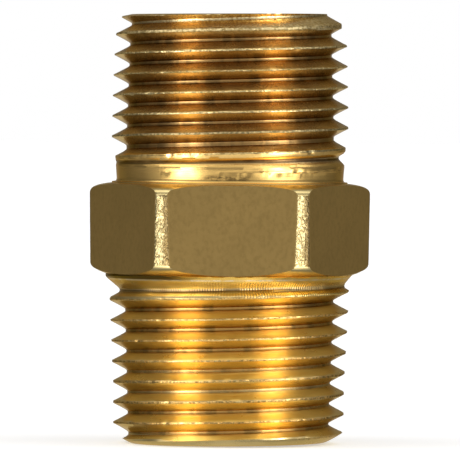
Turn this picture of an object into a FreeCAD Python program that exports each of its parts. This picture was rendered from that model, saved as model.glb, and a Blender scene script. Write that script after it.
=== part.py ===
import FreeCAD, Part
import math
import os

# Hex nipple: one piece turned and threaded from hexagonal brass bar.
# Frame: millimetres, origin at the centre of the piece on the bore axis,
# +Z along the bore towards the end with the plain turned collar,
# two of the six flats square to the Y axis, two of the corners on the X axis.

V = FreeCAD.Vector
doc = FreeCAD.newDocument("hex_nipple")

# ---------------------------------------------------------------- dimensions
SIZES = [
    ("bore_diameter", 15.0, "straight flow bore, nominal 15"),
    ("bore_mouth_chamfer", 0.5, "45 degree break at each mouth of the bore"),
    ("hex_across_flats", 22.1, "for a 22 wrench, measured over the flats of the drawn bar"),
    ("hex_above", 3.95, "hexagon height above the origin"),
    ("hex_below", 4.05, "hexagon height below the origin"),
    ("hex_top_flat_radius", 11.5, "turned face on top of the hexagon, outer radius"),
    ("hex_top_corner_drop", 0.62, "height of the rounded upper chamfer at the corners"),
    ("hex_corner_radius_top", 12.46, "turned corners, radius at their upper end"),
    ("hex_corner_radius_low", 12.37, "turned corners, radius at their lower end"),
    ("hex_low_corner_rise", 0.80, "height of the lower chamfer at the corners"),
    ("neck_radius", 11.03, "ledge under the hexagon"),
    ("neck_height", 0.45, "straight part of that ledge"),
    ("neck_cone_height", 1.15, "cone from the ledge down to the thread crests"),
    ("half_length", 19.0, "half of the overall length"),
    ("end_face_radius", 8.85, "outer radius of each flat end face"),
    ("end_chamfer_height", 1.0, "lead-in chamfer of each threaded end"),
    ("collar_radius", 10.08, "plain collar above the hexagon"),
    ("collar_top_radius", 10.20, "relief at the end of the collar"),
    ("collar_height", 3.45, "collar height above the hexagon"),
    ("collar_step_radius", 10.50, "thin washer-like step at the foot of the collar"),
    ("collar_step_height", 0.12, "height of that step"),
    ("collar_shoulder_height", 0.30, "cone from the relief up to the thread blank"),
    ("upper_blank_radius", 10.52, "largest radius of the upper thread blank"),
    ("thread_pitch", 1.814286, "14 threads per 25.4"),
    ("thread_flank_angle", 27.5, "half of the 55 degree thread angle"),
    ("thread_depth", 1.32, "crest to root, square to the axis"),
    ("thread_root_half_flat", 0.14, "half width of the root land"),
    ("thread_crest_radius_end", 10.20, "crest radius at the free end"),
    ("thread_taper_per_radius", 0.03125, "1 in 16 on diameter"),
    ("upper_root_height", 15.292857, "height of the upper groove at angle zero"),
    ("lower_root_height", 6.417143, "depth of the lower groove at angle zero"),
    ("runout_rise", 0.90, "rise of the root radius over one turn of run-out"),
]
sheet = doc.addObject("Spreadsheet::Sheet", "Sizes")
for row, (alias, value, note) in enumerate(SIZES, start=1):
    sheet.set("A%d" % row, alias)
    sheet.set("B%d" % row, repr(value))
    sheet.set("C%d" % row, note)
    sheet.setAlias("B%d" % row, alias)
doc.recompute()


def size(alias):
    return float(getattr(sheet, alias))


# ------------------------------------------------------------ small helpers
def origin_plane(body, role):
    for feature in body.Origin.OriginFeatures:
        if feature.Role == role:
            return feature
    raise RuntimeError("no origin plane " + role)


def turned_sketch(body, name, corners):
    """Closed half-section in the X-Z plane: x is the radius, y is the height.
    Each corner is (radius, height, radius expression, height expression)."""
    sketch = body.newObject("Sketcher::SketchObject", name)
    sketch.AttachmentSupport = [(origin_plane(body, "XZ_Plane"), "")]
    sketch.MapMode = "FlatFace"
    count = len(corners)
    for i in range(count):
        a = corners[i]
        b = corners[(i + 1) % count]
        sketch.addGeometry(Part.LineSegment(V(a[0], a[1], 0), V(b[0], b[1], 0)), False)
    import Sketcher
    for i in range(count):
        sketch.addConstraint(Sketcher.Constraint("Coincident", i, 2, (i + 1) % count, 1))
    for i in range(count):
        radius, height, radius_text, height_text = corners[i]
        if abs(radius) < 1e-9:
            sketch.addConstraint(Sketcher.Constraint("PointOnObject", i, 1, -2))
        else:
            at = sketch.addConstraint(Sketcher.Constraint("DistanceX", -1, 1, i, 1, radius))
            sketch.renameConstraint(at, "radius_%d" % i)
            sketch.setExpression("Constraints.radius_%d" % i, radius_text)
        # heights are positive numbers; below the origin the pair is swapped
        if height >= 0:
            at = sketch.addConstraint(Sketcher.Constraint("DistanceY", -1, 1, i, 1, height))
        else:
            at = sketch.addConstraint(Sketcher.Constraint("DistanceY", i, 1, -1, 1, -height))
        sketch.renameConstraint(at, "height_%d" % i)
        sketch.setExpression("Constraints.height_%d" % i, height_text)
    return sketch


def revolved(body, sketch, name):
    feature = body.newObject("PartDesign::Revolution", name)
    feature.Profile = sketch
    feature.ReferenceAxis = (sketch, ["V_Axis"])
    feature.Angle = 360
    return feature


# ------------------------------------------------------- hexagon (bar stock)
import Sketcher

hex_body = doc.addObject("PartDesign::Body", "hexagon")
hex_sketch = hex_body.newObject("Sketcher::SketchObject", "hexagon_outline")
hex_sketch.AttachmentSupport = [(origin_plane(hex_body, "XY_Plane"), "")]
hex_sketch.MapMode = "FlatFace"
corner = size("hex_across_flats") / math.sqrt(3.0)
ring = [V(corner * math.cos(math.radians(60 * i)), corner * math.sin(math.radians(60 * i)), 0) for i in range(6)]
for i in range(6):
    hex_sketch.addGeometry(Part.LineSegment(ring[i], ring[(i + 1) % 6]), False)
circle = hex_sketch.addGeometry(Part.Circle(V(0, 0, 0), V(0, 0, 1), corner), True)
for i in range(6):
    hex_sketch.addConstraint(Sketcher.Constraint("Coincident", i, 2, (i + 1) % 6, 1))
    hex_sketch.addConstraint(Sketcher.Constraint("PointOnObject", i, 1, circle))
for i in range(5):
    hex_sketch.addConstraint(Sketcher.Constraint("Equal", i, i + 1))
hex_sketch.addConstraint(Sketcher.Constraint("Coincident", circle, 3, -1, 1))
hex_sketch.addConstraint(Sketcher.Constraint("PointOnObject", 0, 1, -1))
at = hex_sketch.addConstraint(Sketcher.Constraint("Radius", circle, corner))
hex_sketch.renameConstraint(at, "corner_radius")
hex_sketch.setExpression("Constraints.corner_radius", "Sizes.hex_across_flats / sqrt(3)")
doc.recompute()

hex_pad = hex_body.newObject("PartDesign::Pad", "hexagon_bar")
hex_pad.Profile = hex_sketch
try:
    hex_pad.Type = "TwoLengths"
except Exception:
    hex_pad.SideType = "Two sides"
hex_pad.setExpression("Length", "Sizes.hex_above")
hex_pad.setExpression("Length2", "Sizes.hex_below")
doc.recompute()
bar_volume = hex_pad.Shape.Volume

# The corners are turned to a slightly conical cylinder, with a shallow
# chamfer above and a steeper one below: everything outside is cut away.
top = size("hex_above")
low = size("hex_below")
outside = 14.0
corner_sketch = turned_sketch(hex_body, "corner_turning", [
    (size("hex_top_flat_radius"), top, "Sizes.hex_top_flat_radius", "Sizes.hex_above"),
    ((size("hex_top_flat_radius") + size("hex_corner_radius_top")) / 2 + 0.10, top - size("hex_top_corner_drop") * 0.42,
     "(Sizes.hex_top_flat_radius + Sizes.hex_corner_radius_top) / 2 + 0.10",
     "Sizes.hex_above - Sizes.hex_top_corner_drop * 0.42"),
    (size("hex_corner_radius_top"), top - size("hex_top_corner_drop"), "Sizes.hex_corner_radius_top",
     "Sizes.hex_above - Sizes.hex_top_corner_drop"),
    (size("hex_corner_radius_low"), -(low - size("hex_low_corner_rise")), "Sizes.hex_corner_radius_low",
     "Sizes.hex_below - Sizes.hex_low_corner_rise"),
    (size("neck_radius"), -low, "Sizes.neck_radius", "Sizes.hex_below"),
    (outside, -low, "14", "Sizes.hex_below"),
    (outside, top, "14", "Sizes.hex_above"),
])
doc.recompute()
corner_cut = hex_body.newObject("PartDesign::Groove", "corner_turning_cut")
corner_cut.Profile = corner_sketch
corner_cut.ReferenceAxis = (corner_sketch, ["V_Axis"])
corner_cut.Angle = 360
doc.recompute()
if not corner_cut.Shape.Volume < bar_volume - 1.0:
    raise RuntimeError("the corner turning removed nothing")

# ------------------------------------------- upper shank: collar and blank
upper_body = doc.addObject("PartDesign::Body", "upper_shank")
foot = size("collar_step_height")
rise = size("collar_height")
shoulder = size("collar_shoulder_height")
half = size("half_length")
cone_start = half - (size("upper_blank_radius") - size("thread_crest_radius_end")) / size("thread_taper_per_radius")
cone_text = "Sizes.half_length - (Sizes.upper_blank_radius - Sizes.thread_crest_radius_end) / Sizes.thread_taper_per_radius"
chamfer = size("end_chamfer_height")
upper_sketch = turned_sketch(upper_body, "upper_shank_section", [
    (0, top, "", "Sizes.hex_above"),
    (size("collar_step_radius"), top, "Sizes.collar_step_radius", "Sizes.hex_above"),
    (size("collar_step_radius"), top + foot, "Sizes.collar_step_radius", "Sizes.hex_above + Sizes.collar_step_height"),
    (size("collar_radius"), top + foot, "Sizes.collar_radius", "Sizes.hex_above + Sizes.collar_step_height"),
    (size("collar_top_radius"), top + rise, "Sizes.collar_top_radius", "Sizes.hex_above + Sizes.collar_height"),
    (size("upper_blank_radius"), top + rise + shoulder, "Sizes.upper_blank_radius",
     "Sizes.hex_above + Sizes.collar_height + Sizes.collar_shoulder_height"),
    (size("upper_blank_radius"), cone_start, "Sizes.upper_blank_radius", cone_text),
    (size("thread_crest_radius_end") + chamfer * size("thread_taper_per_radius"), half - chamfer,
     "Sizes.thread_crest_radius_end + Sizes.end_chamfer_height * Sizes.thread_taper_per_radius",
     "Sizes.half_length - Sizes.end_chamfer_height"),
    (size("end_face_radius"), half, "Sizes.end_face_radius", "Sizes.half_length"),
    (0, half, "", "Sizes.half_length"),
])
doc.recompute()
revolved(upper_body, upper_sketch, "upper_shank_turning")

# -------------------------------------------- lower shank: ledge and blank
lower_body = doc.addObject("PartDesign::Body", "lower_shank")
neck = size("neck_height")
neck_cone = size("neck_cone_height")
meet_height = low + neck + neck_cone
meet_radius = size("thread_crest_radius_end") + (half - meet_height) * size("thread_taper_per_radius")
lower_sketch = turned_sketch(lower_body, "lower_shank_section", [
    (0, -low, "", "Sizes.hex_below"),
    (size("neck_radius"), -low, "Sizes.neck_radius", "Sizes.hex_below"),
    (size("neck_radius"), -(low + neck), "Sizes.neck_radius", "Sizes.hex_below + Sizes.neck_height"),
    (meet_radius, -meet_height,
     "Sizes.thread_crest_radius_end + (Sizes.half_length - Sizes.hex_below - Sizes.neck_height"
     " - Sizes.neck_cone_height) * Sizes.thread_taper_per_radius",
     "Sizes.hex_below + Sizes.neck_height + Sizes.neck_cone_height"),
    (size("thread_crest_radius_end") + chamfer * size("thread_taper_per_radius"), -(half - chamfer),
     "Sizes.thread_crest_radius_end + Sizes.end_chamfer_height * Sizes.thread_taper_per_radius",
     "Sizes.half_length - Sizes.end_chamfer_height"),
    (size("end_face_radius"), -half, "Sizes.end_face_radius", "Sizes.half_length"),
    (0, -half, "", "Sizes.half_length"),
])
doc.recompute()
revolved(lower_body, lower_sketch, "lower_shank_turning")
doc.recompute()


# ------------------------------------------------------- helical groove tools
# Each tool is the space between the turns: a tapered right-hand helix with
# 55 degree flanks and a narrow root land. Its root climbs out of the metal
# over the last turn next to the hexagon, which is the run-out a die leaves.
def smooth_edge(point_at, start, stop, steps):
    at = [start + (stop - start) * i / steps for i in range(steps + 1)]
    small = 1e-4
    curve = Part.BSplineCurve()
    curve.interpolate(
        Points=[point_at(t) for t in at],
        Parameters=at,
        Tangents=[(point_at(t + small) - point_at(t - small)) * (0.5 / small) for t in at],
        TangentFlags=[True] * len(at),
    )
    return curve.toShape()


def groove_tool(section_at, height_at, start, stop):
    corners = len(section_at(start))

    def corner_path(i):
        def point_at(t):
            radius, rise_here = section_at(t)[i]
            return V(radius * math.cos(t), radius * math.sin(t), height_at(t) + rise_here)
        return point_at

    faces = []
    pieces = int(math.ceil((stop - start) / (math.pi / 2) - 1e-9))
    for piece in range(pieces):
        a = start + (stop - start) * piece / pieces
        b = start + (stop - start) * (piece + 1) / pieces
        edges = [smooth_edge(corner_path(i), a, b, 4) for i in range(corners)]
        for i in range(corners):
            faces.append(Part.makeRuledSurface(edges[i], edges[(i + 1) % corners]))
    for t in (start, stop):
        loop = [corner_path(i)(t) for i in range(corners)]
        faces.append(Part.Face(Part.makePolygon(loop + [loop[0]])))
    shell = Part.makeShell(faces)
    shell.sewShape(1e-5)
    solid = Part.makeSolid(shell)
    if solid.Volume < 0:
        solid.reverse()
    return solid


PITCH = size("thread_pitch")
FLANK = math.tan(math.radians(size("thread_flank_angle")))
DEPTH = size("thread_depth")
ROOT = size("thread_root_half_flat")
TAPER = size("thread_taper_per_radius")
CREST = size("thread_crest_radius_end")
RISE = size("runout_rise")
TURN = 2 * math.pi


def section(root_radius, flank_limit, outer_radius):
    """Groove section: (radius, offset along the axis) corners."""
    reach = min(root_radius + DEPTH, flank_limit)
    wide = ROOT + (reach - root_radius) * FLANK
    return [(root_radius, -ROOT), (root_radius, ROOT), (reach, wide),
            (outer_radius, wide), (outer_radius, -wide), (reach, -wide)]


def upper_height(t):
    return size("upper_root_height") + PITCH * t / TURN


def upper_root(t):
    depth_line = CREST + (half - upper_height(t)) * TAPER - DEPTH
    return depth_line + RISE * max(0.0, (UPPER_RUNOUT - t) / TURN)


def lower_height(t):
    return -size("lower_root_height") + PITCH * t / TURN


def lower_root(t):
    depth_line = CREST + (half + lower_height(t)) * TAPER - DEPTH
    past = max(0.0, (t - LOWER_RUNOUT) / TURN)
    return depth_line + RISE * past + 3.0 * max(0.0, past - 1.0)


# the groove is at full depth up to these helix angles
UPPER_RUNOUT = math.pi - 5 * TURN
LOWER_RUNOUT = 0.0

upper_tool = doc.addObject("Part::Feature", "upper_groove")
upper_tool.Shape = groove_tool(
    lambda t: section(upper_root(t), 10.75, 11.0), upper_height,
    UPPER_RUNOUT - 1.40 * TURN, UPPER_RUNOUT + 7.2 * TURN)
lower_tool = doc.addObject("Part::Feature", "lower_groove")
lower_tool.Shape = groove_tool(
    lambda t: section(lower_root(t), 11.7, 12.0), lower_height,
    LOWER_RUNOUT - 7.6 * TURN, LOWER_RUNOUT + 1.28 * TURN)
doc.recompute()

# ------------------------------------------------------------- cut the threads
upper_threaded = doc.addObject("Part::Cut", "upper_threaded_shank")
upper_threaded.Base = upper_body
upper_threaded.Tool = upper_tool
lower_threaded = doc.addObject("Part::Cut", "lower_threaded_shank")
lower_threaded.Base = lower_body
lower_threaded.Tool = lower_tool
doc.recompute()

solid_nipple = doc.addObject("Part::MultiFuse", "solid_nipple")
solid_nipple.Shapes = [hex_body, upper_threaded, lower_threaded]
solid_nipple.Refine = False
doc.recompute()

# ------------------------------------------------------------------ flow bore
bore = doc.addObject("Part::Cylinder", "bore")
bore.setExpression("Radius", "Sizes.bore_diameter / 2")
bore.setExpression("Height", "2 * Sizes.half_length")
bore.setExpression("Placement.Base.z", "-Sizes.half_length")
upper_mouth = doc.addObject("Part::Cone", "upper_bore_mouth")
upper_mouth.setExpression("Radius1", "Sizes.bore_diameter / 2")
upper_mouth.setExpression("Radius2", "Sizes.bore_diameter / 2 + Sizes.bore_mouth_chamfer")
upper_mouth.setExpression("Height", "Sizes.bore_mouth_chamfer")
upper_mouth.setExpression("Placement.Base.z", "Sizes.half_length - Sizes.bore_mouth_chamfer")
lower_mouth = doc.addObject("Part::Cone", "lower_bore_mouth")
lower_mouth.setExpression("Radius1", "Sizes.bore_diameter / 2 + Sizes.bore_mouth_chamfer")
lower_mouth.setExpression("Radius2", "Sizes.bore_diameter / 2")
lower_mouth.setExpression("Height", "Sizes.bore_mouth_chamfer")
lower_mouth.setExpression("Placement.Base.z", "-Sizes.half_length")
bore_tools = doc.addObject("Part::MultiFuse", "bore_tools")
bore_tools.Shapes = [bore, upper_mouth, lower_mouth]
doc.recompute()

nipple = doc.addObject("Part::Cut", "nipple_body")
nipple.Label = "nipple_body"
nipple.Base = solid_nipple
nipple.Tool = bore_tools
doc.recompute()

# ------------------------------------------------------------------- checking
for item in doc.Objects:
    if "Invalid" in item.State or "Error" in item.State:
        raise RuntimeError("%s failed: %s" % (item.Name, item.State))

if not hex_body.Shape.Volume > 3000:
    raise RuntimeError("the hexagon is too small")
for threaded, blank in ((upper_threaded, upper_body), (lower_threaded, lower_body)):
    removed = blank.Shape.Volume - threaded.Shape.Volume
    if not 400 < removed < 700:
        raise RuntimeError("%s: the groove removed %.1f" % (threaded.Name, removed))

PARTS = [nipple]
os.makedirs("parts", exist_ok=True)
for item in PARTS:
    shape = item.Shape
    if shape.isNull() or not shape.isValid():
        raise RuntimeError(item.Label + " has no valid shape")
    if len(shape.Solids) != 1:
        raise RuntimeError("%s has %d solids" % (item.Label, len(shape.Solids)))
    box = shape.BoundBox
    print("%s volume %.1f faces %d box x %.3f %.3f y %.3f %.3f z %.3f %.3f" % (
        item.Label, shape.Volume, len(shape.Faces),
        box.XMin, box.XMax, box.YMin, box.YMax, box.ZMin, box.ZMax))
for item in PARTS:
    item.Shape.exportStep("parts/" + item.Label + ".step")
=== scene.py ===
"""A brass hexagon nipple, threaded at both ends.

Its axis is Z with the hexagon about z = 0; the camera looks along +Y. The part is one
closed mesh of rings and helical rows, worked out in millimetres and stored in metres.
"""

import math
from functools import cached_property

import bpy
import numpy as np
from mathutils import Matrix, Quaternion, Vector


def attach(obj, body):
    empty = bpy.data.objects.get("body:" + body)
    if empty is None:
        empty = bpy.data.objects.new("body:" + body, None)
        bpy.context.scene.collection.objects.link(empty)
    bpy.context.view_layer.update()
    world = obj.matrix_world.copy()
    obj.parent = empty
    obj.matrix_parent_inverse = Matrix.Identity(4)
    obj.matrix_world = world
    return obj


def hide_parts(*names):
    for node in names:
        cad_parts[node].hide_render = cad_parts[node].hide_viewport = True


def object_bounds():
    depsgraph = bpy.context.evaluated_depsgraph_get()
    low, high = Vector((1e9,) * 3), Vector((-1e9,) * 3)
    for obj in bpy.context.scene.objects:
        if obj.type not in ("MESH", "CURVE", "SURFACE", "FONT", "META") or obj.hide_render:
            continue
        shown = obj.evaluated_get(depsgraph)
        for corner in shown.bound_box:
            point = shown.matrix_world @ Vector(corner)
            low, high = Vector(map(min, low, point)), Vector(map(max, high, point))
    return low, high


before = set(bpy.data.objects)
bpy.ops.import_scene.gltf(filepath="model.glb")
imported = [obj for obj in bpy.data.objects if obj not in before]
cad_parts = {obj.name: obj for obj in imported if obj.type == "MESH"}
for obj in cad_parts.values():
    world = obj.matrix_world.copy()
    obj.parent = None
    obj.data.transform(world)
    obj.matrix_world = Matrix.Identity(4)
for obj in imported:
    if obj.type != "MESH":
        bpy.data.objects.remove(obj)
cad_box = [[float(v) for v in corner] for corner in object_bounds()]

# ------------------------------------------------------- dimensions, mm
TAU = 2.0 * math.pi
PITCH = 25.4 / 14.0
TAPER = 1.0 / 32.0           # growth of radius per length
HALF = 19.0                  # half the length of the nipple
HALF_FLATS = 22.1 / 2.0      # axis to a flat of the hexagon
HEX_TOP = 4.00
HEX_LOW = -4.02
LEDGE_Z = HEX_LOW - 0.02     # where the lower shank meets the hexagon
LEDGE_RADIUS = 10.97
BORE = 7.5
BORE_CHAMFER = 0.5
UPPER_START = 5.0            # the upper thread rows begin here
ROWS_END = 18.78             # thread rows stop here, up and down; plain rings follow
UPPER_PHASE = 16.264         # height of a crest at angle zero
LOWER_PHASE = -5.50
SLOPE = 1.0 / math.tan(math.radians(27.5)) * 1.02    # flank: radius per height
DEEP = 1.36                  # crest cone to root
ROOT_FLAT = 0.07             # half width of the flat at the root
ROOT_ROUND = 0.10            # rounding beside it
STEPS = 360                  # steps around
SECTOR = TAU / 6             # one side of the hexagon
HALF_SECTOR = math.radians(30)
FLAT_STEPS = math.radians(27.0)   # mesh steps within this of a flat's centre lie on the flat

THETA = np.arange(STEPS + 1) * TAU / STEPS

# Turned profiles: (z, radius)
UPPER_CREST = [
    (7.1, 10.48), (9.0, 10.48), (10.0, 10.47), (10.7, 10.46), (12.6, 10.44), (13.7, 10.42),
    (14.4, 10.38), (15.45, 10.33), (16.2, 10.27), (17.25, 10.14), (17.95, 9.80), (18.4, 9.76),
    (18.82, 9.66), (19.0, 8.80)]
LOWER_CREST = [
    (-17.2, 10.20), (-15.3, 10.20), (-13.55, 10.245), (-11.75, 10.335), (-9.9, 10.44),
    (-8.1, 10.515), (-6.26, 10.60), (-5.52, 10.62), (-4.70, 10.64), (-4.0, 10.66)]
LOWER_CHAMFER = [
    (-19.0, 8.62), (-18.93, 8.82), (-18.80, 9.08), (-18.60, 9.47), (-18.42, 9.73),
    (-18.25, 9.97), (-18.1, 10.15), (-17.9, 10.4), (-17.4, 11.5)]

# Turned corners of the hexagon, upwards: (radius, z)
HEX_LOW_PROFILE = [
    (11.055, HEX_LOW), (11.28, -3.94), (11.55, -3.82), (11.90, -3.65), (12.09, -3.53),
    (12.21, -3.42), (12.29, -3.30), (12.35, -3.12)]
HEX_TOP_PROFILE = [
    (12.435, 3.10), (12.415, 3.25), (12.36, 3.385), (12.27, 3.51), (12.11, 3.625),
    (11.91, 3.725), (11.66, 3.81), (11.38, 3.88), (11.13, 3.93)]

# Rows inside one pitch: (distance from the crest centre, share of crest unevenness,
# raised edge, wear)
THREAD_ROWS = np.array([
    (-0.905, 0, 0, 0), (-0.800, 0, 0, 0), (-0.680, 0, 0, 0), (-0.480, 0, 0, 0),
    (-0.280, 0.25, 0, 0), (-0.130, 0.75, 0.1, 0.25), (-0.074, 1, 1, 1), (0.0, 1, 0, 1),
    (0.074, 1, 1, 1), (0.130, 0.75, 0.1, 0.25), (0.280, 0.25, 0, 0), (0.480, 0, 0, 0),
    (0.680, 0, 0, 0), (0.800, 0, 0, 0)])
ROW_OFFSETS = (THREAD_ROWS[:, 0] + PITCH / 2) / PITCH        # 0..1
ROWS = len(THREAD_ROWS)

# Pieces of the surface, numbered as the material slots
(FLAT, NECK, LOWER, HEX_PLANE, COLLAR, UPPER, END, BORE_WALL, CORNER, CHAMFER) = range(10)


# ------------------------------------------------------- number helpers
def noise(x, seed, period=4096):
    """Smooth value noise, -1..1, one bump per unit of x."""
    values = np.random.RandomState(seed).rand(4096)
    x = np.asarray(x, float)
    cell = np.floor(x).astype(int)
    part = x - cell
    part = part * part * (3 - 2 * part)
    here = values[cell % period]
    after = values[(cell + 1) % period]
    return (here + (after - here) * part) * 2 - 1


def ring_noise(per_turn, seed):
    """The same round the steps, closing on itself after one turn."""
    return noise((THETA / TAU) * per_turn, seed, per_turn)


def smooth(start, end, x):
    t = np.clip((np.asarray(x, float) - start) / (end - start), 0, 1)
    return t * t * (3 - 2 * t)


def profile(z, table):
    return np.interp(z, *zip(*table))


# ------------------------------------------------------- thread surfaces
def crest_cone(depth_from_end):
    return 10.20 + depth_from_end * TAPER


def upper_blank(z):
    """Radius of the turned blank above the hexagon."""
    relief = 10.06 + (z - 4.4) * 0.070
    shoulder = relief + np.maximum(0.0, z - 7.35) * 1.6
    return np.minimum(profile(z, UPPER_CREST), shoulder)


def lower_blank(z, theta):
    """Radius of the turned blank below the hexagon."""
    # the plain ring against the hexagon, a little deeper on one side
    ring_end = -4.37 + 0.09 * np.cos(theta)
    ring = 0.33 * smooth(-0.16, 0.0, z - ring_end)
    return np.minimum(profile(z, LOWER_CREST) + ring, profile(z, LOWER_CHAMFER))


def groove(side, root, slope_hex, wide=0.0):
    """Radius of one groove at distance side from its root line, positive towards the
    hexagon. wide is a flat beside the root, on the hexagon side."""
    away = np.where(side > 0, np.maximum(side - wide, 0.0), side)
    slope = np.where(side > 0, slope_hex, SLOPE)
    away = np.maximum(np.abs(away) - ROOT_FLAT, 0.0)
    return root + slope * (np.sqrt(away * away + ROOT_ROUND * ROOT_ROUND) - ROOT_ROUND)


def upper_grooves(z, theta):
    """Root height and cut radius of each turn; past full depth the root climbs out."""
    for turn in range(-7, 4):
        angle = theta + TAU * turn
        root_z = (UPPER_PHASE - PITCH / 2) + PITCH * angle / TAU
        past = (math.pi - 5 * TAU - angle) / TAU         # turns past full depth
        out = np.maximum(0, past)
        rise = 0.72 * out + 0.10 * out * out + 3.0 * np.maximum(out - 1.05, 0)
        root = crest_cone(HALF - root_z) - DEEP + rise + 0.012 * noise(angle * 9, 5)
        root = root - 0.32 * smooth(HALF - 1.2, HALF - 0.2, root_z)
        root_z = root_z + 0.40 * np.clip(out, 0, 1.4) ** 3
        slope_hex = np.clip(SLOPE - 1.7 * out, 0.85, SLOPE)
        wide = 0.15 * smooth(-0.8, -0.5, past) * (1 - smooth(0.1, 0.35, past))
        yield root_z, groove(root_z - z, root, slope_hex, wide)


def lower_grooves(z, theta):
    for turn in range(-9, 3):
        angle = theta + TAU * turn
        root_z = (LOWER_PHASE - PITCH / 2) + PITCH * angle / TAU
        out = np.maximum(0, angle / TAU)
        rise = 0.93 * out + 3.0 * np.maximum(out - 1.10, 0)
        root = crest_cone(HALF + root_z) - DEEP + rise + 0.012 * noise(angle * 9, 6)
        root_z = root_z - 0.46 * np.clip(out, 0, 1.3) ** 3
        slope_hex = np.clip(SLOPE - 1.5 * out, 0.85, SLOPE)
        yield root_z, groove(z - root_z, root, slope_hex)


def cut_thread(z, blank, grooves):
    """Radius, groove radius above the blank, and distance to the nearest root line."""
    lowest = np.full(z.shape, 99.0)
    near = np.full(z.shape, 9.0)
    for root_z, cut in grooves:
        near = np.where(cut < lowest, np.abs(z - root_z), near)
        lowest = np.minimum(lowest, cut)
    return np.minimum(blank, lowest), lowest - blank, near


def upper_thread(z, theta):
    return cut_thread(z, upper_blank(z), upper_grooves(z, theta))


def lower_thread(z, theta):
    return cut_thread(z, lower_blank(z, theta), lower_grooves(z, theta))


def crest_life(arc, seed):
    """Waves and nicks along a crest: change of radius, by arc length."""
    wave = 0.020 * noise(arc * 0.35, seed) + 0.016 * noise(arc * 1.3, seed + 1)
    fine = 0.016 * noise(arc * 3.3, seed + 2)
    nick = -0.11 * np.clip(noise(arc * 0.9, seed + 3) - 0.66, 0, 1) / 0.34
    return wave + fine + nick


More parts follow.
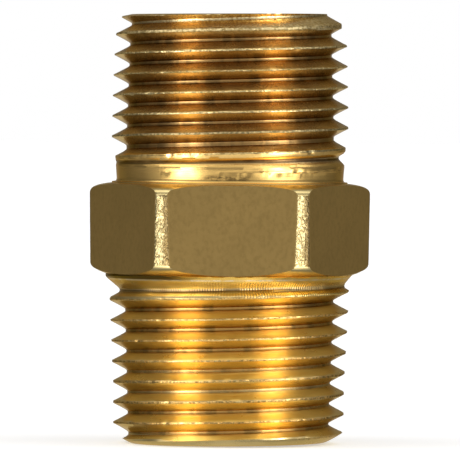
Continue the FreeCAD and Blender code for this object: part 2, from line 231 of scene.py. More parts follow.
# ------------------------------------------------------- mesh building
class Shell:
    """Points and faces as they are built; a ring is its point numbers, first repeated."""

    def __init__(self):
        self.points = []
        self.wear = []          # 1 on burred crests, 0 elsewhere
        self.seat = []          # 1 along the bottom of the thread groove
        self.faces = []
        self.pieces = []
        self.count = 0

    def add(self, points, wear, seat):
        ids = np.arange(self.count, self.count + len(points))
        self.points.append(points)
        self.wear.append(wear)
        self.seat.append(seat)
        self.count += len(points)
        return ids

    def ring(self, r, z, theta=THETA):
        height = np.broadcast_to(z, theta.shape)
        points = np.stack([r * np.cos(theta), r * np.sin(theta), height], 1)[:STEPS]
        ids = self.add(points, np.zeros(STEPS), np.zeros(STEPS))
        return np.append(ids, ids[0])

    def thread_ring(self, thread, z):
        return self.ring(thread(np.full(STEPS + 1, z), THETA)[0], z)

    def hex_ring(self, turned_radius, z, rough=0.0):
        """Flats where they lie inside the turned radius, arcs at the corners. Mesh
        steps stay on the edges between the two."""
        sector = np.floor(THETA / SECTOR)
        phi = THETA - (sector + 0.5) * SECTOR          # from a flat's centre
        edge = math.acos(HALF_FLATS / turned_radius)
        on_flat = np.abs(phi) <= FLAT_STEPS + 1e-9
        moved = np.where(on_flat, phi * edge / FLAT_STEPS,
                         np.sign(phi) * (edge + (np.abs(phi) - FLAT_STEPS)
                                         * (HALF_SECTOR - edge) / (HALF_SECTOR - FLAT_STEPS)))
        theta = (sector + 0.5) * SECTOR + moved
        r = np.where(on_flat, np.minimum(HALF_FLATS / np.cos(moved), turned_radius),
                     turned_radius)
        if rough:
            bumps = rough * (noise(theta * 62 + z * 4.1, 31) * 0.6
                             + noise(z * 5.3 + theta * 17, 32) * 0.6)
            r = r + np.where(np.abs(phi) > FLAT_STEPS + 1e-6, bumps, 0)
        return self.ring(r, z, theta)

    def strip(self, ring_a, ring_b, piece):
        """Quads between two rings; piece is one number or one per step."""
        for i, kind in enumerate(np.broadcast_to(piece, STEPS)):
            self.faces.append((ring_a[i], ring_a[i + 1], ring_b[i + 1], ring_b[i]))
            self.pieces.append(kind)

    def chain(self, rings, piece):
        for ring_a, ring_b in zip(rings, rings[1:]):
            self.strip(ring_a, ring_b, piece)

    def thread(self, z_low, z_high, crest_z, thread, piece, seed, low_ring, high_ring):
        """Helical rows between two closed rings."""
        first = math.floor((z_low - crest_z) / PITCH) - 1
        start = crest_z + first * PITCH - PITCH / 2
        total = (int(math.ceil((z_high - start) / PITCH)) + 1) * ROWS
        gap = 0.012
        turn, row = np.divmod(np.arange(total), ROWS)
        base = start + turn * PITCH + ROW_OFFSETS[row] * PITCH
        z = base[None, :] + (PITCH * np.arange(STEPS + 1) / STEPS)[:, None]
        below = z <= z_low + gap
        free = ~below & (z < z_high - gap)
        theta = np.broadcast_to(THETA[:, None], z.shape)
        r, over, near = thread(z, theta)
        seat = (1 - smooth(0.05, 0.24, near)) * smooth(0.02, 0.10, -over)

        # uneven crests, each with two raised edges: the burr a die leaves
        uneven, raised, worn = THREAD_ROWS[row, 1:].T
        arc = (theta + TAU * (turn + first)) * 10.2
        land = smooth(-0.25, 0.02, over) * (1 - 0.85 * smooth(0.35, 0.9, over))
        r = r + crest_life(arc, seed) * uneven * land
        r = r + raised * land * (0.012 + 0.020 * np.clip(noise(arc * 1.9, seed + 7), 0, 1))
        shake = 0.014 * noise(arc * 0.8, seed + 8) + 0.010 * noise(arc * 2.7, seed + 9)
        shaken = np.clip(z + shake * uneven * free, z_low + gap * 0.5, z_high - gap * 0.5)
        worn = worn * land
        if piece == UPPER:
            # the turned nose of this end is rough all over, not only along the crests
            nose = smooth(17.0, 17.35, z) * smooth(-0.10, -0.01, over)
            worn = np.maximum(worn * smooth(6.0, 6.5, z), nose)
            r = r + nose * (0.016 * noise(arc * 1.7 + z * 3.1, seed + 11)
                            + 0.014 * noise(arc * 4.4 - z * 7.3, seed + 12))
        else:
            worn = worn * (1 - smooth(-5.9, -5.3, z))

        # rows outside the zone collapse onto its two rings
        free = free[:STEPS]
        points = np.stack([r * np.cos(theta), r * np.sin(theta), shaken], 2)[:STEPS]
        ids = np.where(below, low_ring[:, None], high_ring[:, None])
        ids[:STEPS][free] = self.add(points[free], worn[:STEPS][free], seat[:STEPS][free])
        ids[STEPS, :-ROWS] = ids[0, ROWS:]
        ids[STEPS, -ROWS:] = high_ring[0]
        full = np.concatenate([low_ring[:, None], ids, high_ring[:, None]], 1)
        for a, b in zip(full, full[1:]):
            for k in range(len(a) - 1):
                corners = tuple(dict.fromkeys((a[k], b[k], b[k + 1], a[k + 1])))
                if len(corners) >= 3:
                    self.faces.append(corners)
                    self.pieces.append(piece)


def build_lower_shank(shell):
    """Lower end and thread; returns the lower bore rings and the ring at the hexagon."""
    rim = shell.thread_ring(lower_thread, -HALF)
    mouth = shell.ring(BORE + BORE_CHAMFER, -HALF)
    bore = shell.ring(BORE, -HALF + BORE_CHAMFER)
    neck = shell.ring(LEDGE_RADIUS, LEDGE_Z)
    rings = [rim] + [shell.thread_ring(lower_thread, z) for z in (-18.93, -18.86, -ROWS_END)]
    shell.chain(rings, LOWER)
    shell.thread(-ROWS_END, LEDGE_Z, LOWER_PHASE, lower_thread, LOWER, seed=100,
                 low_ring=rings[-1], high_ring=neck)
    return [bore, mouth, rim], neck


def build_hexagon(shell, neck):
    rings = [shell.hex_ring(r, z) for r, z in HEX_LOW_PROFILE]
    low_r, low_z = HEX_LOW_PROFILE[-1]
    top_r, top_z = HEX_TOP_PROFILE[0]
    for z in np.linspace(low_z, top_z, 13)[1:-1]:
        r = low_r + (top_r - low_r) * (z - low_z) / (top_z - low_z)
        rings.append(shell.hex_ring(r, z, rough=0.012))
    rings += [shell.hex_ring(r, z) for r, z in HEX_TOP_PROFILE]

    shell.strip(neck, rings[0], NECK)
    middle = THETA[:STEPS] + TAU / STEPS / 2
    middle = middle - (np.floor(middle / SECTOR) + 0.5) * SECTOR
    at_corner = np.abs(middle) > FLAT_STEPS
    for k in range(len(rings) - 1):
        turned = k < len(HEX_LOW_PROFILE) - 1 or k >= len(rings) - len(HEX_TOP_PROFILE)
        piece = np.where(at_corner, CHAMFER if turned else CORNER, FLAT)
        shell.strip(rings[k], rings[k + 1], piece)
    return rings[-1]


def build_upper_shank(shell, hex_ring):
    """Plane on the hexagon, low step, collar, thread and end; returns the bore ring."""
    step_r = 10.50 + 0.14 * ring_noise(5, 41) + 0.03 * ring_noise(60, 42)
    plane = shell.ring(10.90, 3.965)
    step_foot = shell.ring(step_r + 0.03, HEX_TOP + 0.005)
    collar = [
        step_foot,
        shell.ring(step_r, HEX_TOP + 0.13),
        shell.ring(10.16, HEX_TOP + 0.17),
        shell.ring(10.08 + 0.010 * ring_noise(24, 43), HEX_TOP + 0.30),
        shell.ring(upper_blank(4.45), 4.45),
        shell.ring(upper_blank(UPPER_START), UPPER_START)]
    rim = shell.thread_ring(upper_thread, HALF)
    mouth = shell.ring(BORE + BORE_CHAMFER, HALF)
    bore = shell.ring(BORE, HALF - BORE_CHAMFER)
    shell.chain([hex_ring, plane, step_foot], HEX_PLANE)
    shell.chain(collar, COLLAR)
    rings = [shell.thread_ring(upper_thread, ROWS_END)]
    shell.thread(UPPER_START, ROWS_END, UPPER_PHASE, upper_thread, UPPER, seed=200,
                 low_ring=collar[-1], high_ring=rings[0])
    rings += [shell.thread_ring(upper_thread, z) for z in (18.82, 18.88, 18.94)]
    shell.chain(rings + [rim], UPPER)
    shell.chain([rim, mouth, bore], END)
    return bore


def build_shell():
    shell = Shell()
    low_end, neck = build_lower_shank(shell)
    upper_bore = build_upper_shank(shell, build_hexagon(shell, neck))
    wall = [shell.ring(BORE, z) for z in (9.0, 0.0, -9.0)]
    shell.chain([upper_bore] + wall + [low_end[0]], BORE_WALL)
    shell.chain(low_end, END)
    return shell


shell = build_shell()
points = np.concatenate(shell.points)
# the two end cuts are a hair out of square with the axis
tilt = 0.0075 * smooth(17.6, 18.6, points[:, 2]) + 0.010 * smooth(17.6, 18.6, -points[:, 2])
outside_bore = np.hypot(points[:, 0], points[:, 1]) > BORE + 0.2
points[:, 2] += tilt * points[:, 0] * outside_bore
points = points * 0.001

mesh = bpy.data.meshes.new("nipple")
mesh.from_pydata([tuple(p) for p in points], [], [tuple(int(v) for v in f) for f in shell.faces])
for name, values in (("wear", shell.wear), ("seat", shell.seat)):
    attribute = mesh.attributes.new(name, "FLOAT", "POINT")
    attribute.data.foreach_set("value", np.concatenate(values).astype(np.float32))
mesh.update()
nipple = bpy.data.objects.new("brass_nipple", mesh)
bpy.context.scene.collection.objects.link(nipple)
mesh.polygons.foreach_set("use_smooth", np.ones(len(mesh.polygons), dtype=bool))
mesh.set_sharp_from_angle(angle=math.radians(32))


# ------------------------------------------------------- shader nodes
class Nodes:
    """Short hands for building a node tree. Any value may be a socket."""

    def __init__(self, tree):
        self.tree = tree

    def node(self, kind, **settings):
        node = self.tree.nodes.new(kind)
        for key, value in settings.items():
            setattr(node, key, value)
        return node

    def put(self, socket, value):
        if isinstance(value, bpy.types.NodeSocket):
            self.tree.links.new(value, socket)
        elif isinstance(value, tuple):
            socket.default_value = (*value, 1.0)
        else:
            socket.default_value = value

    def math(self, operation, *values, clamp=False):
        node = self.node("ShaderNodeMath", operation=operation, use_clamp=clamp)
        for socket, value in zip(node.inputs, values):
            self.put(socket, value)
        return node.outputs[0]

    def mul(self, a, b):
        return self.math("MULTIPLY", a, b)

    def add(self, a, b):
        return self.math("ADD", a, b)

    def sub(self, a, b):
        return self.math("SUBTRACT", a, b)

    def linear(self, x, times, plus):
        return self.math("MULTIPLY_ADD", x, times, plus)

    def rise(self, x, lo, hi):
        """0 below lo, 1 above hi."""
        node = self.node("ShaderNodeMapRange", interpolation_type="SMOOTHSTEP")
        self.put(node.inputs["Value"], x)
        node.inputs["From Min"].default_value = lo
        node.inputs["From Max"].default_value = hi
        return node.outputs["Result"]

    def fall(self, x, lo, hi):
        return self.sub(1.0, self.rise(x, lo, hi))

    def window(self, x, rise, fall):
        return self.mul(self.rise(x, *rise), self.fall(x, *fall))

    def mix(self, a, b, mask, amount=None):
        """Colour a, turning to b where mask is 1."""
        node = self.node("ShaderNodeMix", data_type="RGBA", blend_type="MIX")
        self.put(node.inputs["Factor"], mask if amount is None else self.mul(mask, amount))
        self.put(node.inputs[6], a)
        self.put(node.inputs[7], b)
        return node.outputs[2]

    def split(self, vector):
        node = self.node("ShaderNodeSeparateXYZ")
        self.put(node.inputs[0], vector)
        return tuple(node.outputs)

    def stretch(self, vector, *factors):
        node = self.node("ShaderNodeVectorMath", operation="MULTIPLY")
        self.put(node.inputs[0], vector)
        node.inputs[1].default_value = factors
        return node.outputs[0]

    def noise(self, vector, scale, detail=2.0, rough=0.5, distortion=0.0):
        node = self.node("ShaderNodeTexNoise")
        self.put(node.inputs["Vector"], vector)
        node.inputs["Scale"].default_value = scale
        node.inputs["Detail"].default_value = detail
        node.inputs["Roughness"].default_value = rough
        node.inputs["Distortion"].default_value = distortion
        return node.outputs[0]

    def curve(self, x, points):
        node = self.node("ShaderNodeFloatCurve")
        curve = node.mapping.curves[0]
        curve.points[0].location = points[0]
        curve.points[-1].location = points[-1]
        for point in points[1:-1]:
            curve.points.new(*point)
        for point in curve.points:
            point.handle_type = "VECTOR"
        node.mapping.update()
        self.put(node.inputs["Value"], x)
        return node.outputs[0]


class Brass(Nodes):
    """A brass material; coordinates come in millimetres."""

    def __init__(self, name):
        self.material = bpy.data.materials.new(name)
        self.material.use_nodes = True
        super().__init__(self.material.node_tree)
        self.inputs = self.tree.nodes["Principled BSDF"].inputs
        self.inputs["Metallic"].default_value = 1.0
        self.inputs["Specular Tint"].default_value = (0.95, 0.76, 0.44, 1.0)   # at grazing
        coord = self.node("ShaderNodeTexCoord")
        self.place = self.stretch(coord.outputs["Object"], 1000.0, 1000.0, 1000.0)

    @cached_property
    def xyz(self):
        return self.split(self.place)

    @cached_property
    def radius(self):
        x, y, _ = self.xyz
        return self.math("SQRT", self.add(self.mul(x, x), self.mul(y, y)))

    def attribute(self, name):
        return self.node("ShaderNodeAttribute", attribute_name=name).outputs["Fac"]

    def stretched_noise(self, stretch, **settings):
        return self.noise(self.stretch(self.place, *stretch), **settings)

    def tone(self, colour, amount, scale):
        """Colour with slow changes of tone of about +-amount."""
        slow = self.stretched_noise((1, 1, 1), scale=scale, detail=3.0, rough=0.6)
        return self.mix(scaled(colour, 1 - amount), scaled(colour, 1 + amount),
                        self.rise(slow, lo=0.3, hi=0.7))

    def finish(self, colour, rough, height, depth_mm):
        self.put(self.inputs["Base Color"], colour)
        self.put(self.inputs["Roughness"], rough)
        bump = self.node("ShaderNodeBump")
        bump.inputs["Strength"].default_value = 1.0
        bump.inputs["Distance"].default_value = depth_mm * 0.001
        self.put(bump.inputs["Height"], height)
        self.put(self.inputs["Normal"], bump.outputs[0])
        return self.material


def scaled(colour, factor):
    return tuple(min(1.0, c * factor) for c in colour)


# ------------------------------------------------------- thread material
# Outer radius of the shanks for the depth shading: (z, radius)
SHANK_OUTLINE = [
    (-19.0, 8.62), (-18.6, 9.47), (-18.1, 10.15), (-17.2, 10.20), (-13.55, 10.245),
    (-9.9, 10.44), (-5.52, 10.62), (-4.55, 10.66), (-4.0, 10.97), (5.0, 10.10), (7.1, 10.48),
    (12.6, 10.44), (14.4, 10.38), (16.2, 10.27), (17.25, 10.14), (17.95, 9.80), (18.82, 9.66),
    (19.0, 8.80)]
LOWER_PLAIN = (0.98, 0.64, 0.145)
UPPER_PLAIN = (0.96, 0.61, 0.195)
NOOK_DARK = (0.05, 0.025, 0.006)
LIP_GLINT = (1.0, 0.86, 0.58)
SEAM_SHADE = (0.13, 0.055, 0.014)
STREAK_DARK = (0.10, 0.05, 0.015)
BLOT_DARK = (0.16, 0.075, 0.02)
SEAT_DARK = (0.15, 0.065, 0.016)
BRUISE_DARK = (0.56, 0.38, 0.14)
BRUISE_BRIGHT = (0.93, 0.75, 0.40)
CHATTER_DARK = (0.45, 0.25, 0.06)


def thread_depth(mat):
    """Depth below the outer radius. The curve maps z -20..20 and radius 8..12 to 0..1."""
    curve = [(0.0, 0.62 / 4)]
    curve += [((z + 20) / 40, (r - 8) / 4) for z, r in SHANK_OUTLINE]
    curve += [(1.0, 0.8 / 4)]
    share = mat.curve(mat.linear(mat.xyz[2], times=1 / 40, plus=0.5), curve)
    return mat.sub(mat.linear(share, times=4.0, plus=8.0), mat.radius)


def ring_line(mat, across, height, lean, width, scale, patch, times, plus):
    """Mask of a patchy line round the shank, higher by lean on the +X side."""
    level = mat.sub(mat.xyz[2], mat.mul(across, lean))
    line = mat.fall(mat.math("ABSOLUTE", mat.sub(level, height)), *width)
    patches = mat.rise(mat.noise(mat.place, scale=scale, rough=0.6), *patch)
    return mat.mul(line, mat.linear(patches, times=times, plus=plus))


def chatter(mat):
    """Cutter chatter close under the hexagon: ripples of -1..1 round the shank."""
    x, y, z = mat.xyz
    zone = mat.window(z, rise=(-6.3, -5.6), fall=(-4.66, -4.54))
    angle = mat.math("ARCTAN2", x, mat.mul(y, -1.0))
    wobble = mat.mul(mat.noise(mat.place, scale=0.9), 4.0)
    wave = mat.math("SINE", mat.linear(angle, times=262.0, plus=wobble))
    patches = mat.stretched_noise((1, 1, 0.2), scale=0.42, detail=1.0)
    patches = mat.rise(patches, lo=0.38, hi=0.62)
    return mat.mul(wave, mat.mul(zone, mat.linear(patches, times=0.75, plus=0.25)))


def thread_brass(name, down, up, crest, root_shading, root_down, root_up, root_line, rough, dirt,
                 crest_from, root_rough, up_rough, root_at):
    """Threaded shank: down- and up-facing flanks in two colours as painted light and shade,
    burred crests, a band of painted shade beside the root (painted light on the lower thread's
    down-facing side), and a line along the root itself.

    root_shading is the strength of that painted band, root_at the depth where the root line
    starts, crest_from the wear range where a crest begins to show.
    """
    mat = Brass(name)
    x, _, z = mat.xyz
    depth = thread_depth(mat)
    normal = mat.node("ShaderNodeNewGeometry").outputs["Normal"]
    facing_up = mat.rise(mat.split(normal)[2], lo=-0.25, hi=0.25)
    line_range = (root_at, root_at + 0.09)

    ragged = mat.mul(mat.sub(mat.noise(mat.place, scale=2.4), 0.5), 0.9)
    edge = mat.rise(mat.add(mat.attribute("wear"), ragged), *crest_from)
    # plain turned parts of the shank: the run-out under the hexagon, the relief above it
    plain = mat.math("MAXIMUM", mat.window(z, rise=(-6.0, -5.3), fall=(0.0, 1.0)),
                     mat.window(z, rise=(0.0, 1.0), fall=(7.2, 7.7)))
    plain = mat.mul(plain, mat.fall(depth, lo=0.25, hi=0.60))
    cut_part = mat.linear(plain, times=-0.85, plus=1.0)
    # shadowed corner where the ring meets the underside of the hexagon
    nook = mat.mul(mat.window(z, rise=(-4.46, -4.38), fall=(0.0, 1.0)),
                   mat.fall(x, lo=-6.0, hi=-2.0))
    # the blunt first land above the relief is torn, not cut clean
    torn = mat.window(z, rise=(6.15, 6.45), fall=(7.35, 7.6))
    torn = mat.mul(torn, mat.fall(depth, lo=0.12, hi=0.30))
    edge = mat.math("MAXIMUM", mat.mul(edge, mat.linear(torn, times=-0.75, plus=1.0)),
                    mat.mul(torn, 0.10))
    root = mat.window(depth, rise=(0.35, 1.05), fall=line_range)

    # painted light and shade: down- and up-facing flanks take different colours for the light
    # that falls on them
    colour = mat.mix(down, up, facing_up)
    plain_colour = mat.mix(LOWER_PLAIN, UPPER_PLAIN, mat.rise(z, lo=-1.0, hi=1.0))
    colour = mat.mix(colour, plain_colour, plain)
    colour = mat.mix(colour, NOOK_DARK, nook, amount=0.85)
    # painted highlight: a bright line on the edge of the ring; painted shade: a dark line where
    # the first land meets the relief
    across = mat.math("DIVIDE", x, mat.radius)
    lip_glint = ring_line(mat, across, height=-4.40, lean=0.09, width=(0.03, 0.10),
                    scale=1.3, patch=(0.35, 0.6), times=0.6, plus=0.25)
    colour = mat.mix(colour, LIP_GLINT, lip_glint)
    # painted shade along the groove where the first land meets the relief
    seam_shade = ring_line(mat, across, height=6.08, lean=0.16, width=(0.04, 0.13),
                     scale=0.8, patch=(0.3, 0.7), times=0.35, plus=0.5)
    colour = mat.mix(colour, SEAM_SHADE, seam_shade)
    # tool streaks round the thread, then blots
    streak = mat.stretched_noise((0.30, 0.30, 5.0), scale=1.6, detail=3.0, rough=0.6)
    streaked = mat.mul(mat.rise(streak, lo=0.35, hi=0.75), 0.26 * dirt)
    colour = mat.mix(colour, STREAK_DARK, mat.mul(cut_part, streaked))
    blot = mat.noise(mat.place, scale=0.55, detail=3.0, rough=0.6)
    blotted = mat.mul(mat.rise(blot, lo=0.50, hi=0.80), 0.30 * dirt)
    colour = mat.mix(colour, BLOT_DARK, mat.mul(cut_part, blotted))
    # painted shade in the band beside the root; on the lower thread's down-facing flanks it is a
    # painted lighter, yellower tone
    colour = mat.mix(colour, mat.mix(root_down, root_up, facing_up), root, amount=root_shading)
    dash = mat.stretched_noise((1.0, 1.0, 0.3), scale=0.8, rough=0.6)
    line_colour = mat.mix(scaled(root_line, 0.62), scaled(root_line, 1.12),
                          mat.rise(dash, lo=0.38, hi=0.56))
    colour = mat.mix(colour, line_colour, mat.rise(depth, *line_range), amount=0.92)
    # where the groove runs out, its bottom is dark
    runout = mat.window(z, rise=(-6.9, -6.2), fall=(7.0, 7.6))
    colour = mat.mix(colour, SEAT_DARK, mat.mul(mat.attribute("seat"), runout),
                     amount=mat.linear(dash, times=0.5, plus=0.55))
    grain = mat.noise(mat.place, scale=4.2, rough=0.6)
    worn = mat.mix(scaled(crest, 0.45), crest, mat.rise(grain, lo=0.40, hi=0.60))
    colour = mat.mix(colour, worn, edge)
    # the last turn towards the upper end is bruised bright
    shallow = mat.math("MAXIMUM", mat.fall(depth, lo=0.25, hi=0.50),
                       mat.rise(z, lo=18.0, hi=18.4))
    bruised = mat.mix(BRUISE_DARK, BRUISE_BRIGHT, mat.rise(grain, lo=0.35, hi=0.62))
    colour = mat.mix(colour, bruised, mat.mul(mat.rise(z, lo=16.9, hi=17.7), shallow),
                     amount=0.75)
    wave = chatter(mat)
    colour = mat.mix(colour, CHATTER_DARK, mat.math("MULTIPLY", wave, -0.5, clamp=True),
                     amount=0.9)

    fine = mat.stretched_noise((1.0, 1.0, 2.5), scale=3.2, rough=0.55)
    height = mat.add(mat.mul(mat.sub(streak, 0.5), 0.9), mat.mul(mat.sub(fine, 0.5), 0.6))
    height = mat.mul(height, mat.linear(edge, times=-0.7, plus=1.0))
    nose = mat.mul(mat.rise(z, lo=17.2, hi=18.1), mat.fall(depth, lo=0.30, hi=0.60))
    bruise = mat.math("MAXIMUM", edge, mat.mul(nose, 0.7))
    height = mat.add(height, mat.mul(mat.sub(grain, 0.5), mat.mul(bruise, 4.5)))
    height = mat.add(height, mat.mul(wave, 1.3))

    rough = mat.linear(edge, times=0.08, plus=mat.linear(blot, times=0.10, plus=rough - 0.05))
    rough = mat.linear(mat.mul(facing_up, cut_part), times=up_rough, plus=rough)
    deep = mat.mul(root, mat.sub(1.0, facing_up))
    rough = mat.linear(deep, times=root_rough, plus=rough)
    return mat.finish(colour, rough, height, depth_mm=0.012)


# ------------------------------------------------------- hexagon and turned materials
FLAT_COLOUR = (0.472, 0.318, 0.109)
CORNER_COLOUR = (0.72, 0.58, 0.285)
CORNER_SHADE = (0.40, 0.36, 0.32)         # times the corner colour, per channel
CREASE_DARK = (0.17, 0.105, 0.03)
STAIN_DARK = (0.16, 0.085, 0.025)
COLLAR_FOOT_SHADE = (0.10, 0.055, 0.018)


def flat_brass():
    """Satin flats, mottled and specked."""
    mat = Brass("brass_satin_flat")
    colour = mat.tone(FLAT_COLOUR, amount=0.035, scale=0.30)
    mottle = mat.stretched_noise((1.0, 1.0, 0.75), scale=2.6, detail=3.0, rough=0.6)
    colour = mat.mix(colour, scaled(FLAT_COLOUR, 0.80), mat.rise(mottle, lo=0.42, hi=0.72),
                     amount=0.55)
    speck = mat.noise(mat.place, scale=6.5, rough=0.6)
    colour = mat.mix(colour, scaled(FLAT_COLOUR, 1.35), mat.rise(speck, lo=0.66, hi=0.78),
                     amount=0.45)
    height = mat.add(mat.mul(mottle, 1.0), mat.mul(speck, 0.45))
    rough = mat.linear(mottle, times=0.14, plus=0.60 - 0.07)
    return mat.finish(colour, rough, height, depth_mm=0.006)


def corner_brass():
    """The narrow rough strips between the flats."""
    mat = Brass("brass_rough_corner")
    x, y, _ = mat.xyz
    crumple = mat.stretched_noise((1.0, 1.0, 0.7), scale=2.6, detail=3.0, rough=0.6,
                                  distortion=0.8)
    big = mat.noise(mat.place, scale=1.1)
    ridges = mat.math("ABSOLUTE", mat.linear(crumple, times=2.0, plus=-1.0))
    # place across the strip: about -1 .. 1 from the smaller to the larger angle
    turn = mat.mul(mat.math("ARCTAN2", y, x), 3.0 / math.pi)
    across = mat.sub(mat.math("FRACT", mat.add(turn, 6.5)), 0.5)
    across = mat.mul(across, 1.0 / 0.054)
    jagged = mat.linear(mat.sub(crumple, 0.5), times=1.6, plus=across)
    shaded = tuple(c * k for c, k in zip(CORNER_COLOUR, CORNER_SHADE))
    colour = mat.mix(CORNER_COLOUR, shaded, mat.rise(jagged, lo=0.05, hi=0.45))
    colour = mat.mix(colour, CREASE_DARK, mat.fall(ridges, lo=0.02, hi=0.14), amount=0.80)
    height = mat.add(mat.mul(crumple, 3.0), mat.mul(big, 1.2))
    rough = mat.linear(crumple, times=0.12, plus=0.24)
    return mat.finish(colour, rough, height, depth_mm=0.022)


def turned_brass(name, base, rough, axis, line_mm, tone=0.06, stain=0.25, wave=0.35,
                 foot_shade=False):
    """Turned surface: fine rings along z ('z') or along the radius ('r')."""
    mat = Brass(name)
    x, y, z = mat.xyz
    if axis == "z":
        along = mat.stretch(mat.place, 0.10, 0.10, 6.0)
        fine_along = mat.stretch(mat.place, 0.35, 0.35, 9.0)
    else:
        combined = mat.node("ShaderNodeCombineXYZ")
        for socket, value, factor in zip(combined.inputs, (mat.radius, x, y), (6.0, 0.10, 0.10)):
            mat.put(socket, mat.mul(value, factor))
        along = combined.outputs[0]
        fine_along = mat.stretch(along, 1.5, 3.0, 3.0)
    lines = mat.noise(along, scale=1.0, detail=3.0, rough=0.65)
    fine = mat.noise(fine_along, scale=1.0)
    colour = mat.tone(base, tone, scale=0.5)
    colour = mat.mix(colour, scaled(base, 0.62), mat.rise(lines, lo=0.50, hi=0.72), amount=wave)
    spot = mat.noise(mat.place, scale=1.7, detail=3.0, rough=0.7)
    colour = mat.mix(colour, STAIN_DARK, mat.rise(spot, lo=0.62, hi=0.74), amount=stain)
    if foot_shade:
        # painted shade: a patchy dark reflection at the foot of the collar, on the -Y side
        off_centre = mat.math("ABSOLUTE", mat.sub(x, -0.45))
        where = mat.mul(mat.fall(off_centre, lo=1.4, hi=2.6), mat.fall(y, lo=-1.0, hi=1.0))
        where = mat.mul(where, mat.window(z, rise=(4.25, 4.38), fall=(4.62, 4.92)))
        shade_patches = mat.stretched_noise((1.0, 1.0, 2.2), scale=1.5, detail=3.0, rough=0.7)
        colour = mat.mix(colour, COLLAR_FOOT_SHADE, mat.mul(where, mat.rise(shade_patches, lo=0.36, hi=0.60)),
                         amount=0.75)
    height = mat.add(mat.mul(lines, 1.0), mat.add(mat.mul(fine, 0.5), mat.mul(spot, 0.05)))
    rough = mat.linear(spot, times=0.03, plus=rough - 0.015)
    return mat.finish(colour, rough, height, depth_mm=line_mm)


# In the order of the piece numbers
for material in (
    flat_brass(),
    turned_brass("brass_neck", (0.70, 0.46, 0.15), rough=0.28, axis="z", line_mm=0.008),
    # painted light: the lower thread is coloured lighter and yellower than the upper one, for
    # light thrown up from below
    thread_brass("brass_thread_lower", down=(0.98, 0.76, 0.34), up=(0.95, 0.73, 0.325),
                 crest=(0.90, 0.56, 0.18), root_shading=0.42, root_down=(0.95, 0.85, 0.47),
                 root_up=(0.72, 0.48, 0.20), root_line=(0.46, 0.245, 0.060), rough=0.26,
                 dirt=0.35, crest_from=(0.65, 1.05), root_rough=-0.12, up_rough=0.03,
                 root_at=1.18),
    turned_brass("brass_hex_top", (0.78, 0.57, 0.25), rough=0.28, axis="r", line_mm=0.008),
    turned_brass("brass_collar", (0.98, 0.62, 0.195), rough=0.18, axis="z", line_mm=0.006,
                 tone=0.05, stain=0.0, foot_shade=True),
    # painted shade: the upper thread's up-facing flanks and root band are coloured much darker
    # than its down-facing flanks
    thread_brass("brass_thread_upper", down=(1.0, 0.82, 0.46), up=(0.67, 0.50, 0.27),
                 crest=(1.0, 0.80, 0.40), root_shading=0.34, root_down=(0.20, 0.070, 0.015),
                 root_up=(0.20, 0.070, 0.015), root_line=(0.34, 0.185, 0.055), rough=0.18,
                 dirt=0.9, crest_from=(0.35, 0.75), root_rough=0.0, up_rough=0.09,
                 root_at=1.12),
    turned_brass("brass_end", (0.66, 0.44, 0.15), rough=0.28, axis="r", line_mm=0.010,
                 stain=0.3),
    turned_brass("brass_bore", (0.62, 0.41, 0.14), rough=0.30, axis="z", line_mm=0.010,
                 tone=0.08, stain=0.4),
    corner_brass(),
    turned_brass("brass_hex_chamfer", (0.74, 0.58, 0.26), rough=0.30, axis="z",
                 line_mm=0.010, stain=0.2, wave=0.3),
):
    mesh.materials.append(material)
mesh.polygons.foreach_set("material_index", np.array(shell.pieces, dtype=np.int32))
mesh.update()

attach(nipple, "root")
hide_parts("nipple_body")

# ------------------------------------------------------- floor, metres
FLOOR_HALF = 3
FLOOR_GAP = 0.00002
low, high = cad_box
floor_z = min(low[2], float(points[:, 2].min())) - FLOOR_GAP
floor_mesh = bpy.data.meshes.new("floor")
floor_corners = [(x * FLOOR_HALF, y * FLOOR_HALF, floor_z)
                 for x, y in ((-1, -1), (1, -1), (1, 1), (-1, 1))]
floor_mesh.from_pydata(floor_corners, [], [(0, 1, 2, 3)])
floor = bpy.data.objects.new("floor", floor_mesh)
bpy.context.scene.collection.objects.link(floor)
white = bpy.data.materials.new("floor_white")
white.use_nodes = True
for key, value in {"Base Color": (0.92, 0.92, 0.92, 1), "Roughness": 0.9,
                   "Specular IOR Level": 0.0, "Emission Color": (1, 1, 1, 1),
                   "Emission Strength": 0.45}.items():
    white.node_tree.nodes["Principled BSDF"].inputs[key].default_value = value
floor.data.materials.append(white)
floor.visible_glossy = False      # the metal mirrors the light tent, not the floor

# ------------------------------------------------------- light tent
# Brightness round about: (degrees from the camera side, -Y, level)
BOX_ROUND = [(0, 0.57), (22, 0.58), (31, 1.1), (40, 2.5), (50, 3.3), (60, 2.6), (70, 0.90),
             (78, 0.38), (100, 0.19), (128, 0.12), (152, 0.18), (180, 0.42)]
TOP_ROUND = [(0, 0.15), (50, 0.30), (66, 1.45), (95, 1.45), (112, 0.25), (180, 0.25)]
FILL_ROUND = [(0, 1.03), (70, 1.0), (102, 0.38), (150, 0.40), (180, 0.70)]
LOW_ROUND = [(0, 0.0), (33, 0.0), (43, 3.0), (55, 3.0), (66, 0.0), (180, 0.0)]
# Brightness by height: (degrees above the horizon, level)
BOX_HIGH = [(-90, 0.20), (-60, 0.32), (-42, 0.62), (-22, 1.0), (3, 1.0), (10, 0.15),
            (30, 0.05), (90, 0.14)]
TOP_HIGH = [(-90, 0.0), (28, 0.0), (42, 1.0), (65, 1.0), (90, 0.5)]
FILL_HIGH = [(-90, 0.62), (-45, 0.50), (-14, 0.28), (-5, 0.0), (5, 0.0), (13, 0.30),
             (40, 0.34), (90, 0.55)]
LOW_HIGH = [(-90, 0.0), (-30, 0.0), (-22, 1.0), (-8, 1.0), (-3, 0.0), (90, 0.0)]

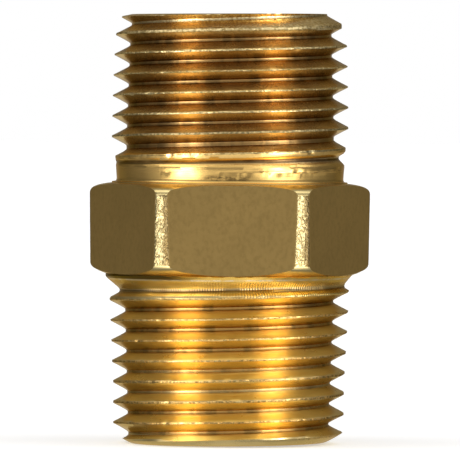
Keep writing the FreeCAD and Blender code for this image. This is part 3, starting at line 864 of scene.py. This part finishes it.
scene = bpy.context.scene
scene.view_settings.view_transform = "Standard"
world = bpy.data.worlds.new("studio")
scene.world = world
world.use_nodes = True
world.node_tree.nodes.clear()
tent = Nodes(world.node_tree)


def ramp(value, stops):
    node = tent.node("ShaderNodeValToRGB")
    tent.put(node.inputs[0], value)
    elements = node.color_ramp.elements
    node.color_ramp.interpolation = "LINEAR"
    for element, (position, level) in zip(elements, (stops[0], stops[-1])):
        element.position = position
        element.color = (level, level, level, 1)
    for position, level in stops[1:-1]:
        elements.new(position).color = (level, level, level, 1)
    return node.outputs["Color"]


def round_ramp(value, table):
    return ramp(value, [(degrees / 180.0, level) for degrees, level in table])


def high_ramp(table):
    return ramp(height, [((math.sin(math.radians(degrees)) + 1) / 2, level)
                         for degrees, level in table])


x, y, z = tent.split(tent.node("ShaderNodeTexCoord").outputs["Generated"])
angle = tent.math("ARCTAN2", tent.math("ABSOLUTE", x), tent.mul(y, -1.0))
azimuth = tent.math("DIVIDE", angle, math.pi)          # 0 in front, 1 behind
# the two boxes are not quite a mirror pair
box_azimuth = tent.sub(azimuth, tent.linear(x, times=0.0125, plus=0.006))
height = tent.linear(z, times=0.5, plus=0.5)

# two soft boxes either side of the camera, fill all round, light from above
boxes = tent.mul(round_ramp(box_azimuth, BOX_ROUND), high_ramp(BOX_HIGH))
fill = tent.mul(high_ramp(FILL_HIGH), round_ramp(azimuth, FILL_ROUND))
top = tent.mul(round_ramp(azimuth, TOP_ROUND), high_ramp(TOP_HIGH))
# low part of the boxes, seen only by way of several bounces inside the grooves
low_boxes = tent.mul(round_ramp(box_azimuth, LOW_ROUND), high_ramp(LOW_HIGH))
radiance = tent.add(tent.add(boxes, fill), tent.add(top, low_boxes))
grey = tent.node("ShaderNodeCombineColor")
for channel in range(3):
    tent.put(grey.inputs[channel], radiance)
tent_light = tent.node("ShaderNodeBackground")
tent.put(tent_light.inputs["Color"], grey.outputs[0])
# the camera itself sees plain white
backdrop = tent.node("ShaderNodeBackground")
tent.put(backdrop.inputs["Color"], (1, 1, 1))
chooser = tent.node("ShaderNodeMixShader")
tent.put(chooser.inputs[0], tent.node("ShaderNodeLightPath").outputs["Is Camera Ray"])
tent.put(chooser.inputs[1], tent_light.outputs[0])
tent.put(chooser.inputs[2], backdrop.outputs[0])
tent.put(tent.node("ShaderNodeOutputWorld").inputs["Surface"], chooser.outputs[0])

# ------------------------------------------------------- camera
DISTANCE = 0.730
VIEW_WIDTH = 0.04082         # width of view at the nipple
SENSOR = 36.0
ROLL, AZIMUTH, ELEVATION = (math.radians(degrees) for degrees in (0.42, -1.2, 1.10))

lens = bpy.data.cameras.new("camera")
lens.sensor_width = SENSOR
lens.lens = SENSOR * DISTANCE / VIEW_WIDTH
lens.shift_x = 0.00076087
lens.shift_y = -0.00380435
lens.clip_start = 0.01
lens.clip_end = 20
camera = bpy.data.objects.new("camera", lens)
scene.collection.objects.link(camera)
centre = Vector([(a + b) / 2 for a, b in zip(low, high)])
away = Vector((math.sin(AZIMUTH) * math.cos(ELEVATION),
               -math.cos(AZIMUTH) * math.cos(ELEVATION), math.sin(ELEVATION)))
camera.location = centre + away * DISTANCE
aim = (-away).to_track_quat("-Z", "Y")
camera.rotation_euler = (aim @ Quaternion((0, 0, 1), ROLL)).to_euler()
scene.camera = camera
